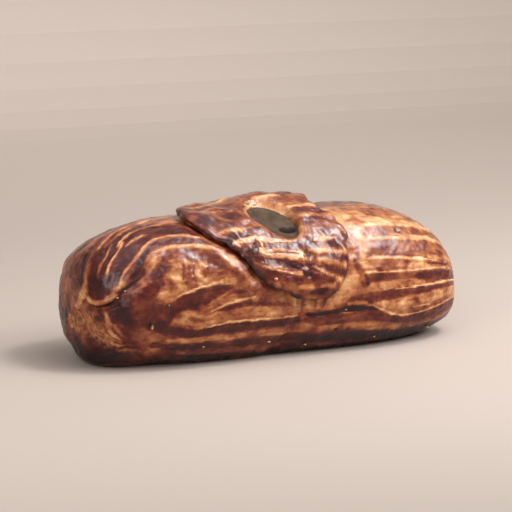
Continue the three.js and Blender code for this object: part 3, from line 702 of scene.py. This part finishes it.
def makeLoaf():
    deselect()
    bpy.ops.mesh.primitive_uv_sphere_add(segments=loaf["lines"], ring_count=loaf["rings"], radius=1)
    piece = bpy.context.object
    ball = readPlaces(piece)
    # even spacing along the crest and round the girth
    rings = np.linspace(0, math.pi, 2001)
    crest = np.array(bodyPoint(rings, 0.5 * math.pi))
    run = np.concatenate([[0], np.cumsum(np.linalg.norm(np.diff(crest), axis=0))])
    share = np.arccos(np.clip(ball[:, 2], -1, 1)) / math.pi
    ring = np.interp(share * run[-1], run, rings)
    around = (-np.arctan2(ball[:, 1], ball[:, 0]) / (2 * math.pi) + 0.25) % 1
    # few lines under the loaf, the rest from foot to foot
    stretch = np.interp(around, [0, 0.045, 0.955, 1], [tableRun[0], -footRun, footRun, tableRun[-1]])
    girth = girthAt(stretch)
    x, y, z = bodyPoint(ring, girth)
    distance = distanceAt(girth)
    bearing, length = fromChimney(x, distance)
    past = length - patchReach(bearing)

    # brush the glaze on
    fray = 1.2 * grain(x / 2.2, y, z, 3.4, 3, 9.0) + 0.4 * grain(x / 1.5, y, z, 1.2, 2, 2.0)
    dry = grain(x / 2, y, z, 5, 4, 14.0)
    tone = loafBakeAndShade["ground"] + loafBakeAndShade["groundVaries"] * grain(x / 2, y, z, 12, 3, 6.0)
    nearStrokes = rightStrokes + beltStrokes + tongueStrokes + leftStrokes
    tone = brushed(tone, x, distance, farStrokes() + nearStrokes, fray, dry)
    tone = tone + (loafBakeAndShade["rightEnd"] + 0.3 * dry - tone) * (ease(120, 127, x) * 0.8)
    fold = ease(-88, -104, x + 18 * ease(-10, 10, y))
    tongueGap = strokeGap(y, z, endShapes["tongue"]) + 0.5 * fray
    outside = ease(-1, 1, tongueGap)
    leftEnd = brushed(loafBakeAndShade["leftEnd"] + 0.25 * dry, y, z, endStrokes, fray, dry)
    tone = tone + (leftEnd - tone) * fold * outside
    # the tongue's pale rim, its dark tip and the dark seam beside it
    rim = bell(tongueGap, -1.6, 2.3) * ease(-94, -106, x) * ease(74, 60, z)
    rimShare = rim * (1.0 - 0.55 * ease(-23, -31, y) + 0.5 * dry).clip(0, 1)
    tone = tone + (loafBakeAndShade["rim"] + 0.15 * dry - tone) * rimShare
    tip = ease(15, 8, np.hypot(y + 25, z - 47)) * ease(-2.6, -4.4, tongueGap) * fold
    tone = tone + (loafBakeAndShade["tip"] - tone) * tip
    seam = bell(tongueGap, 0.7, 0.8) * ease(-84, -96, x) * ease(70, 60, z) * (y < -20)
    # painted shade: the crust is painted darker in the groove under the patch's left edge
    grooveShade = facing(bearing, *patchLeft) * bell(past, -1.5, 2.2)
    # painted shade: darker at the foot and towards the bottom, more so at the lower left
    foot = ease(5, 1.5, z + 1.5 * fray)
    low = loafBakeAndShade["lowLeftShade"] * ease(16, 5, z) * ease(-20, -50, x) + loafBakeAndShade["low"] * ease(18, 5, z)
    dark = loafBakeAndShade["seam"] * seam + loafBakeAndShade["grooveShade"] * grooveShade + loafBakeAndShade["foot"] * foot + low
    tone = np.clip(tone + dark, 0, 1)

    places = crustPoint(ring, girth, 0.0, True, tone)
    # the chimney well, so that the jelly has room
    inside = ease(1.02, 0.94, length / chimneyReach(bearing))
    places = places - normalAt(ring, girth) * (inside * chimney["wellDepth"])[:, None]
    writePlaces(piece, toFrame(places))

    paint(piece, "glazeTone", tone)
    nearFlap = ease(0, 1.5, strokeGap(y, z, endShapes["nearFlap"]) + 0.6 * fray)
    tornGap = np.minimum(strokeGap(y, z, endShapes["torn"]), strokeGap(y, z, endShapes["tornSide"]) + 1)
    torn = ease(2, -3, tornGap + 2 * fray + 3 * dry) * outside * fold * nearFlap
    ragged = 0.7 + 2.2 * ease(-110, -90, x) * ease(-10, -30, x)
    crumbled = 0.8 * ease(0.5 + ragged, 0.6, z) * (grain(x, y, z, 5, 2, 7.0) > 0.05)
    paint(piece, "bareDough", np.clip(torn + crumbled, 0, 1))
    washed = ease(-0.12, 0.5, normalAt(ring, girth)[:, 2]) * ease(4, 20, z) * (1 - 0.4 * ease(-45, -75, x))
    paint(piece, "eggWash", eggWash(washed))
    # brush direction: along the loaf, slanting down the tongue, upright on the end
    slant = math.pi / 4 * ease(-76, -92, x) * ease(75, 60, distance)
    along = (x + 85) * np.cos(slant) - (distance - 25) * np.sin(slant)
    across = (x + 85) * np.sin(slant) + (distance - 25) * np.cos(slant)
    upright = fold * outside
    paint(piece, "strokeAlong", along + (0.8 * y + 1.2 * z - along) * upright)
    paint(piece, "strokeAcross", across + (shredCourse(y, z)[1] - across) * upright)
    finishPiece(piece, "crustLoaf", crustFinish)
    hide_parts("crust_loaf")
    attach(piece, "root")


makeLoaf()
print("stage: crust loaf")


# dough patch: a ring primitive, laid over the crust
patch = {
    "thickness": 5.5, "across": 480, "round": 200, "clearance": 0.3, "cornerLift": 1.8,
    "hump": 5.4, "leftHump": 1.9, "collar": 0.5, "tipThinner": 0.5, "rightThinner": 1.5, "wrinkle": 0.45,
    "ground": 0.62, "groundVaries": 0.25, "edgeTone": 0.74, "wallTone": 0.27, "wallBare": 0.15,
    "coarse": 0.6, "small": 0.1, "glaze": 0.7, "tear": 1.1, "wideTear": 1.5, "swell": 1.2,
}
# its cross section: share of the way round, share of the way out from the chimney, share of the height
patchSection = [
    (0.00, 1.005, 0.42), (0.02, 0.997, 0.7), (0.045, 0.975, 0.9), (0.075, 0.94, 0.99), (0.11, 0.89, 1.0),
    (0.60, 0.18, 1.0), (0.66, 0.09, 0.95), (0.71, 0.04, 0.82), (0.75, 0.012, 0.64), (0.78, 0.0, 0.42),
    (0.80, 0.0, 0.06), (0.82, 0.03, 0.0), (0.955, 0.93, 0.0), (0.968, 1.012, 0.02),
    (0.984, 1.012, 0.2), (1.00, 1.005, 0.42),
]
patchStrokes = [
    (0.46, 4, [(24, 2, 5), (34, 8, 6), (40, 20, 6), (40, 34, 5), (34, 40, 4)]),
    (0.36, 2.5, [(20, 12, 2.5), (27, 16, 3), (33, 24, 3)]),
    (0.78, 2, [(26, 20, 2.4), (33, 19, 2.4)]),
    (0.8, 2, [(30, 30, 2.5), (40, 31, 2.5)]),
    (0.72, 1.6, [(34, 8, 2), (40, 10, 2)]),
    (0.58, 3, [(-34, 10, 3), (-20, 7, 3.5), (-4, 8, 4), (12, 7, 4), (26, 8, 3.5)]),
    (0.28, 0.9, [(-52, 5, 0.8), (-44, 3, 1.1), (-34, 1, 1.1), (-22, -6, 1)]),
    (0.84, 1.1, [(-56, 10, 1.4), (-44, 8, 1.7), (-32, 5.6, 1.5)]),
    (0.86, 1.4, [(-6, -4, 1.4), (4, -5, 2), (14, -6, 2), (19, -1, 1.5)]),
    (0.28, 0.9, [(-9, 4, 0.7), (0, 4.6, 1.1), (11, 3.6, 0.9)]),
    (0.26, 0.8, [(-53, 13, 0.6), (-44, 14, 1), (-36, 14, 0.9), (-28, 16, 0.6)]),
    (0.84, 1.4, [(-50, 21, 1.8), (-44, 25, 2.3), (-35, 21, 3), (-26, 20.6, 2.4)]),
    (0.52, 1.4, [(-42, 20, 1), (-34, 25.6, 1.8), (-26, 27, 2)]),
    (0.8, 1.4, [(-42, 27, 1.8), (-37, 29, 2.4), (-33, 28, 1.2)]),
    (0.24, 0.9, [(-43, 32.4, 0.6), (-37, 32.6, 1.1), (-30, 32, 1.1), (-23, 31, 0.7)]),
    (0.93, 1, [(-38, 36.2, 1.2), (-32, 36.3, 1.8), (-27, 35.4, 1.3)]),
    (0.58, 1.2, [(-24, 34.6, 1.2), (-18, 35.4, 1.4), (-12, 37.4, 1)]),
    (0.14, 0.9, [(-37, 39.8, 0.7), (-30, 38.7, 1.2), (-23, 38.2, 1.3), (-14, 39.8, 1.5), (-5, 41, 1.2),
        (1, 41.6, 0.7)]),
    (0.87, 1, [(-8, 43.6, 0.7), (2, 43.4, 1.4), (10, 42.8, 1.7), (16, 41.6, 1.2)]),
    (0.2, 0.8, [(17, 41.6, 0.9), (25, 41.4, 1.2), (31, 41, 0.9)]),
    (0.82, 0.9, [(13, 37.6, 1.2), (20, 37.4, 1.6), (28, 35.8, 1.4)]),
    (0.88, 1, [(-31, 43, 1.6), (-26.6, 45, 2)]),
    (0.13, 0.9, [(-22, 45.4, 1.4), (-12, 47.4, 2.4), (-2, 48.6, 2.5), (6, 48.8, 1.8)]),
    (0.5, 0.5, [(-18, 46.4, 0.3), (-8, 47.4, 0.4), (4, 48.4, 0.3)]),
    (0.04, 0.5, [(-20.4, 40.4, 0.43), (-19.8, 43, 0.65)]),
    (0.98, 0.7, [(-23, 39.6, 0.7), (-24, 46.6, 1)]),
    (0.9, 0.8, [(-28, 48.4, 1), (-20, 50.4, 1.4), (-10, 52.2, 1.5), (2, 54.2, 1.4), (12, 56.4, 1.5), (22, 58.6, 1.2)]),
    (0.15, 0.8, [(-21, 54.2, 0.9), (-12, 55.7, 1.4), (-4, 57.2, 1.3), (4, 59.2, 0.7)]),
    (0.4, 0.5, [(-16, 54.6, 0.3), (-2, 57.2, 0.3)]),
    (0.84, 1, [(-28, 54, 1.8), (-18, 58, 2.3), (-8, 60.4, 2.3), (4, 63.4, 1.8)]),
    (0.52, 1.6, [(-10, 64, 1.8), (2, 66.6, 2.5), (12, 67, 2.6), (20, 66, 2)]),
    (0.28, 1, [(3, 66.4, 0.8), (11, 66.6, 1.1)]),
    (0.28, 1, [(18, 66.8, 1.3), (26, 66.6, 1.5)]),
    (1.0, 1, [(11, 71, 1.2), (16.5, 70.2, 2.1), (20, 69.2, 1.3)]),
    (0.62, 0.8, [(7.6, 45, 0.8), (11, 50, 1), (7, 54.6, 0.9), (10, 60, 1)]),
    (1.0, 0.9, [(7, 58, 1.3), (10.6, 59.8, 1.5)]),
    (0.12, 0.8, [(11, 47, 0.8), (18, 47.8, 1), (28, 48.8, 1.1), (36, 50, 0.9)]),
    (0.86, 1, [(25, 44, 1.2), (31, 44.4, 1.6), (37, 46.4, 1.2)]),
    (0.8, 0.9, [(26, 51.4, 0.9), (30, 52, 1.3), (35, 52.6, 1.2)]),
    (1.0, 0.7, [(35.4, 53, 1.1), (37.4, 54, 0.9)]),
    (0.22, 0.8, [(16, 51.6, 0.8), (22, 53.4, 1.1), (28, 54.8, 1.1), (34, 56.6, 0.8)]),
    (0.9, 0.9, [(21, 56.6, 1), (27, 58.6, 1.7), (33, 61, 1.7)]),
    (0.1, 0.8, [(14, 56.2, 0.5), (20, 59.4, 0.6), (26, 62.2, 0.6), (31, 64.6, 0.5)]),
    (0.84, 0.9, [(13, 61, 0.9), (18, 62.4, 1.6), (25, 64.2, 1.4)]),
    (0.12, 0.7, [(-1, 15.6, 0.6), (6, 16, 1), (14, 15.6, 1), (22, 14.2, 0.9), (31, 15.6, 0.7)]),
    (0.84, 1, [(7, 20.4, 1.5), (14, 19.6, 2), (22, 19.6, 2), (31, 19, 1.4)]),
    (0.28, 1, [(12, 24, 1), (18, 24, 1.5), (26, 24, 1.2)]),
    (0.64, 1.4, [(13, 29, 2), (20, 30.4, 3), (28, 32, 2.6), (35, 34, 1.6)]),
    (0.28, 2, [(37, 14, 2), (41, 22, 2.4), (39, 32, 1.6)]),
    (0.42, 1, [(9, 30, 1.2), (11.4, 36, 1.8), (14, 38, 1.2)]),
]
# lumps and folds of the patch: place along, distance down, radius, height
patchLumps = [
    (-38, 28, 4.5, 1.3), (-45, 20, 4, 0.9), (-33, 36, 3, 0.9), (-28, 44, 3, 1.7), (-19.8, 42, 2, 1.1),
    (-23.6, 42, 1.3, -1.6), (-14, 51, 3, -0.6), (31, 44.4, 3, 1.1), (30, 52, 3, 1.1), (28, 59, 3, 1.0),
    (9, 49, 1.6, -1.3), (8, 55, 1.5, -1.2), (10, 60, 1.8, -1.1), (16, 63, 3, 0.8), (34, 34, 4, 1.2),
    (22, 38, 3, 0.8), (16, 70, 2.4, -1.0), (-4, 62, 4, 0.8), (25, 20, 5, 0.7), (-30, 20, 4, 0.6),
    (7, 44, 1.2, 1.0), (10.4, 46, 1.2, 1.1), (6, 51, 1.2, 1.0), (11, 53, 1.3, 1.2), (7.6, 58, 1.3, 1.0),
    (12, 57, 1.3, 0.9), (40, 30, 3, 1.3), (42, 22, 2.5, 1.0), (38, 40, 2.5, 1.2), (34, 48, 2.5, 1.2),
]


def patchTop(x, distance):
    hump = (patch["hump"] * bell(x, 9, 28) + patch["leftHump"] * bell(x, -6, 14)) * bell(distance, -3, 15)
    collar = patch["collar"] * bell(np.hypot(x - chimney["x"], distance - chimney["girth"]), 17, 7)
    thinner = patch["tipThinner"] * ease(45, 70, distance)
    thinner = thinner + patch["rightThinner"] * ease(15, 35, x) * ease(0, 25, distance)
    wrinkle = patch["wrinkle"] * np.sin(x / 3.1 + np.sin(distance / 5)) * np.sin(distance / 4.2)
    return patch["thickness"] + hump + collar - thinner + wrinkle


def makePatch():
    deselect()
    bpy.ops.mesh.primitive_torus_add(major_radius=1, minor_radius=0.25,
                                     major_segments=patch["across"], minor_segments=patch["round"])
    piece = bpy.context.object
    tube = readPlaces(piece)
    bearing = -np.arctan2(tube[:, 1], tube[:, 0])
    section = (np.arctan2(tube[:, 2], np.hypot(tube[:, 0], tube[:, 1]) - 1) / (2 * math.pi)) % 1
    table = np.array(patchSection)
    u = np.interp(section, table[:, 0], table[:, 1])
    share = np.interp(section, table[:, 0], table[:, 2])

    def edgeGrain(height, size, octaves, seed):
        return grain(np.cos(bearing) * 40, np.sin(bearing) * 40, height, size, octaves, seed)

    # the chimney's flared wall
    flare = 0.6 + 0.45 * chimney["flare"] * (0.5 + 0.5 * np.cos(bearing + 0.75)) ** 1.5 * share
    inner = chimneyReach(bearing) + 0.4 - 1.3 * ease(-0.2, 0.8, np.sin(bearing)) + flare * ease(0.3, 0, u)
    inner = inner - 3.0 * ease(0.1, -0.8, np.sin(bearing + 0.3)) * ease(0.9, 0.1, share)
    # a torn, uneven edge that swells a little over the crust
    swell = patch["swell"] * (1 + 0.35 * edgeGrain(0 * share, 9, 2, 4.0)) * bell(share, 0.6, 0.3)
    torn = patch["tear"] * edgeGrain(share * 5, 4, 3, 6.0) + patch["wideTear"] * edgeGrain(0 * share, 9, 2, 16.0)
    reach = inner + (patchReach(bearing) - inner) * u + (torn + swell) * ease(0.8, 1.0, u)
    x = chimney["x"] + reach * np.cos(bearing)
    distance = chimney["girth"] + reach * np.sin(bearing)
    low = patch["clearance"] + patch["cornerLift"] * facing(bearing, *patchCorner) * ease(0.7, 1, u)

    fray = 1.2 * grain(x / 2, distance, 0 * x, 3.0, 3, 9.5) + 0.4 * grain(x, distance, 0 * x, 1.2, 2, 2.5)
    dry = grain(x / 2, distance, 0 * x, 5, 4, 14.0)
    tone = patch["ground"] + patch["groundVaries"] * grain(x, distance, 0 * x, 8, 3, 3.0)
    tone = brushed(tone, x, distance, patchStrokes, fray, dry)
    tone = tone - 0.1 * ease(0.5, 0.75, tone)
    uphill = 0.5 - 0.5 * np.sin(bearing - 0.5)
    wall = ease(0.05 + 0.10 * uphill, 0.01, u + 0.02 * fray)
    edge = ease(0.93, 1.0, u) * ease(0.99, 0.8, share)
    edgeTone = patch["edgeTone"] + 0.35 * edgeGrain(share * 8, 6, 3, 1.0)
    # the edge's right side is painted lighter, partly pale crumbly dough and partly a painted highlight; its lower
    # left is darker
    edgeTone = edgeTone - 0.28 * bell(bearing, 0.2, 0.9) + 0.22 * bell(bearing, 2.2, 0.7)
    edgeTone = edgeTone - 0.35 * ease(0.3, 0.05, share) * (1 - bell(bearing, 1.9, 0.5))
    tone = tone + (edgeTone - tone) * edge
    tone = tone + (patch["wallTone"] + 0.2 * dry - tone) * wall

    detail = patch["coarse"] * grain(x, distance, 0 * x, 7, 2, 1.5)
    detail = detail + patch["small"] * grain(x, distance, 0 * x, 2.2, 2, 4.5)
    detail = detail - patch["glaze"] * (tone - 0.5) * ease(0.0, 0.12, u)
    for px, ps, radius, height in patchLumps:
        detail = detail + height * bell(np.hypot(x - px, distance - ps), 0, radius)
    girth = girthAt(distance)
    ring = ringAt(x, girth)
    places = crustPoint(ring, girth, low + (patchTop(x, distance) + detail) * share)
    writePlaces(piece, toFrame(places))
    paint(piece, "glazeTone", np.clip(tone, 0, 1))
    paint(piece, "bareDough", np.clip(patch["wallBare"] * wall, 0, 1))
    paint(piece, "eggWash", eggWash(ease(0.0, 0.55, normalAt(ring, girth)[:, 2]) * share))
    paint(piece, "strokeAlong", x)
    paint(piece, "strokeAcross", distance - 4 * share)
    finishPiece(piece, "doughPatch", patchFinish)
    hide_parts("dough_patch")
    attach(piece, "root")


makePatch()
print("stage: dough patch")


# jelly in the chimney
jelly = {
    "clear": (0.056, 0.036, 0.023), "cloudy": (0.105, 0.066, 0.042), "fleck": (0.13, 0.09, 0.055),
    "pit": (0.014, 0.005, 0.003), "roughness": 0.6, "specular": 0.12, "coat": 0.04, "coatRoughness": 0.15,
    "bump": 0.0004, "bumpStrength": 0.4, "rows": 24, "around": 96, "spread": 1.1, "rimRise": 0.5,
    "pitAt": (7.8, 5.6), "pitSize": (5.4, 3.4), "shadeAt": (7.6, 5.8), "shadeSize": (6.2, 3.2),
}


def makeJelly():
    material, tree, shader = newMaterial("jellyOlive", {
        "Coat Weight": jelly["coat"], "Coat Roughness": jelly["coatRoughness"],
        "Roughness": jelly["roughness"], "Specular IOR Level": jelly["specular"]})
    place = objectPlace(tree)
    cloud = speckle(tree, place, 160, 3)
    fleck = speckle(tree, place, 700, 2)
    colour = mixColour(tree, (cloud - 0.3).ramp(0.0, 0.4), (*jelly["clear"], 1), (*jelly["cloudy"], 1))
    colour = mixColour(tree, (fleck - 0.64).ramp(0.0, 0.1), colour, (*jelly["fleck"], 1))
    # painted shade: the pit in the jelly is painted near-black
    colour = mixColour(tree, field(tree, "pitShade"), colour, (*jelly["pit"], 1))
    plug(tree, shader, "Base Color", colour)
    values = {"Strength": jelly["bumpStrength"], "Distance": jelly["bump"], "Height": cloud + fleck * 0.3}
    plug(tree, shader, "Normal", addNode(tree, "ShaderNodeBump", {}, values))

    # chimney frame: along the loaf, down the near side, outward
    angle = girthAt(np.array([chimney["girth"]]))
    ring = ringAt(np.array([chimney["x"]]), angle)
    middle = np.array(bodyPoint(ring, angle))[:, 0]
    outward = normalAt(ring, angle)[0]
    along = np.array([1.0, 0, 0]) - outward * outward[0]
    along = along / np.linalg.norm(along)
    downhill = -np.cross(outward, along)
    downhill = downhill * (-1 if downhill[2] > 0 else 1)

    deselect()
    bpy.ops.mesh.primitive_uv_sphere_add(segments=jelly["around"], ring_count=jelly["rows"] * 2, radius=1)
    piece = bpy.context.object
    ball = readPlaces(piece)
    bearing = -np.arctan2(ball[:, 1], ball[:, 0])
    polar = np.arccos(np.clip(ball[:, 2], -1, 1)) / math.pi
    upper = polar < 0.5
    shrink = np.where(upper, np.minimum(polar / 0.46, 1), np.minimum((1 - polar) / 0.2, 1))
    reach = (chimneyReach(bearing) + np.where(upper, jelly["spread"], -0.3)) * shrink
    a = reach * np.cos(bearing)
    s = reach * np.sin(bearing)

    def fromSpot(spot, size):
        return np.hypot((a - spot[0]) / size[0], (s - spot[1]) / size[1])

    pit = fromSpot(jelly["pitAt"], jelly["pitSize"])
    level = chimney["jellyLevel"] + math.tan(chimney["jellyTilt"]) * s - chimney["pitDepth"] * np.exp(-pit * pit)
    level = level + jelly["rimRise"] * ease(0.85, 1.0, shrink) * upper
    deep = ease(0.47, 0.8, polar)
    height = level * (1 - deep) + (0.3 - chimney["wellDepth"]) * deep
    places = middle + a[:, None] * along + s[:, None] * downhill + height[:, None] * outward
    writePlaces(piece, toFrame(places))
    # painted shade: near-black in the hollow of the pit
    paint(piece, "pitShade", ease(1.1, 0.8, fromSpot(jelly["shadeAt"], jelly["shadeSize"])) * upper)
    finishPiece(piece, "jellyPlug", material)
    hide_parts("jelly_plug")
    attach(piece, "root")


makeJelly()
print("stage: jelly")


# loose flakes of crust: place along, distance down the near side, size, on the patch or not
flakes = {"spots": [
    (-13, 101, 1.0, 0), (13, 107, 1.1, 0), (102, 112, 1.5, 0), (106, 112.5, 1.0, 0), (60, 107, 0.8, 0),
    (-56, 100, 0.8, 0), (-79, 70, 0.8, 0), (-103, 56, 1.0, 0), (-107, 60, 0.8, 0), (36, 84, 0.7, 0),
    (-14, 60.5, 1.6, 1), (-17.6, 12, 1.7, 1), (-14.6, 10.6, 1.5, 1), (-11, 12.4, 1.3, 1), (-14.6, 14.6, 1.2, 1),
    (-8.6, 10.6, 0.8, 1), (8, 49, 0.8, 1), (29, 27, 0.7, 1),
], "colour": (0.62, 0.38, 0.18), "toasted": (0.5, 0.36, 0.3), "shape": (1.0, 0.62, 0.5), "uneven": 0.4}


def makeFlakes():
    material, tree, shader = newMaterial("flakyCrumb", {"Specular IOR Level": 0.4})
    spots = speckle(tree, objectPlace(tree), 900, 3)
    toasted = [colour * share for colour, share in zip(flakes["colour"], flakes["toasted"])]
    shade = mixColour(tree, spots.ramp(0.4, 0.65), (*flakes["colour"], 1), (*toasted, 1))
    plug(tree, shader, "Base Color", shade)
    plug(tree, shader, "Roughness", spots * 0.4 + 0.2)
    made = []
    for number, (x, s, size, onPatch) in enumerate(flakes["spots"]):
        deselect()
        bpy.ops.mesh.primitive_ico_sphere_add(subdivisions=3, radius=1)
        crumb = bpy.context.object
        ball = readPlaces(crumb)
        shift = 7.3 * number
        rough = flakes["uneven"] * grain(ball[:, 0] + shift, ball[:, 1], ball[:, 2], 0.9, 3, 5.0)
        ball = ball * (size * (1 + rough))[:, None] * np.array(flakes["shape"])
        spin = 2.4 * number
        turned = np.stack([ball[:, 0] * math.cos(spin) - ball[:, 1] * math.sin(spin),
                           ball[:, 0] * math.sin(spin) + ball[:, 1] * math.cos(spin), ball[:, 2]], 1)
        girth = girthAt(np.array([float(s)]))
        ring = ringAt(np.array([float(x)]), girth)
        lift = patch["clearance"] + patchTop(x, s) if onPatch else 0.0
        seat = crustPoint(ring, girth, lift + 0.2 * size)[0]
        writePlaces(crumb, toFrame(turned + seat))
        made.append(crumb)
    deselect()
    for crumb in made:
        crumb.select_set(True)
    bpy.context.view_layer.objects.active = made[0]
    bpy.ops.object.join()
    piece = bpy.context.object
    finishPiece(piece, "crustFlakes", material)
    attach(piece, "root")


makeFlakes()
print("stage: loose flakes")


# floor, backdrop and soft studio light, in metres and watts; a light is its name, place, size,
# power and tint: two keys at the upper right, one at the right front, one overhead and a fill from the left
studio = {
    # painted shade and light: the floor is painted darker towards the camera and lighter up the backdrop
    "nearFloor": (0.27, 0.236, 0.208), "midFloor": (0.47, 0.404, 0.357), "farFloor": (0.82, 0.712, 0.625),
    "nearFade": (-0.55, -0.1), "farFade": (0.3, 1.3), "roughness": 0.8, "specular": 0.2,
    "floorSize": 8, "wallHeight": 4, "wallY": 1.6, "sweep": 0.7, "sweepSteps": 16,
    "worldColour": (0.95, 0.92, 0.9), "worldStrength": 0.2, "lightsAim": (0, 0, 0.04),
    "lights": [
        ("keyLight", (0.5, -0.34, 1.08), 1.2, 11.5, (1.0, 0.98, 0.98)),
        ("keyCore", (0.44, -0.33, 1.04), 0.26, 6, (1.0, 0.98, 0.98)),
        ("frontLight", (0.8, -0.75, 0.85), 0.6, 7.5, (1.0, 0.97, 0.97)),
        ("topLight", (-0.3, 0.1, 1.4), 1.2, 3, (0.93, 0.96, 1.0)),
        ("fillLight", (-1.1, -0.9, 0.8), 1.1, 10, (1.0, 0.97, 0.95)),
    ],
}


def makeStudio():
    deselect()
    bpy.ops.mesh.primitive_plane_add(size=studio["floorSize"], location=(0, 0, 0))
    floor = bpy.context.object
    bpy.ops.object.mode_set(mode="EDIT")
    bpy.ops.mesh.select_all(action="DESELECT")
    bpy.ops.object.mode_set(mode="OBJECT")
    # the far edge is drawn up into a wall, and the corner between them is rounded
    nearlyFar = studio["floorSize"] / 2 - 0.1
    for edge in floor.data.edges:
        ends = [floor.data.vertices[i].co for i in edge.vertices]
        edge.select = all(end.y > nearlyFar for end in ends)
    bpy.ops.object.mode_set(mode="EDIT")
    bpy.ops.mesh.select_mode(type="EDGE")
    bpy.ops.mesh.extrude_region_move(TRANSFORM_OT_translate={"value": (0, 0, studio["wallHeight"])})
    bpy.ops.object.mode_set(mode="OBJECT")
    for vertex in floor.data.vertices:
        if vertex.co.y > nearlyFar:
            vertex.co.y = studio["wallY"]
    bevel = floor.modifiers.new("sweep", "BEVEL")
    bevel.width = studio["sweep"]
    bevel.segments = studio["sweepSteps"]
    bpy.ops.object.modifier_apply(modifier=bevel.name)
    floor.name = "studioFloor"
    material, tree, shader = newMaterial("paleFloor", {
        "Roughness": studio["roughness"], "Specular IOR Level": studio["specular"]})
    away = addNode(tree, "ShaderNodeSeparateXYZ", {}, [objectPlace(tree)], 1)
    near, middle, far = [(*studio[key], 1) for key in ("nearFloor", "midFloor", "farFloor")]
    # painted shade and light: darker near the camera, lighter far away
    shade = mixColour(tree, away.ramp(*studio["nearFade"]), near, middle)
    plug(tree, shader, "Base Color", mixColour(tree, away.ramp(*studio["farFade"]), shade, far))
    floor.data.materials.append(material)

    world = bpy.data.worlds.new("softRoom")
    bpy.context.scene.world = world
    world.use_nodes = True
    sky = world.node_tree.nodes["Background"]
    sky.inputs[0].default_value = (*studio["worldColour"], 1)
    sky.inputs[1].default_value = studio["worldStrength"]

    for name, place, size, power, tint in studio["lights"]:
        bpy.ops.object.light_add(type="AREA", location=place)
        lamp = bpy.context.object
        lamp.name = name
        lamp.data.shape = "DISK"
        lamp.data.size = size
        lamp.data.energy = power
        lamp.data.color = tint
        back = Vector(place) - Vector(studio["lightsAim"])
        lamp.rotation_euler = back.to_track_quat("Z", "Y").to_euler()
    bpy.context.scene.view_settings.view_transform = "Standard"


makeStudio()
print("stage: studio")
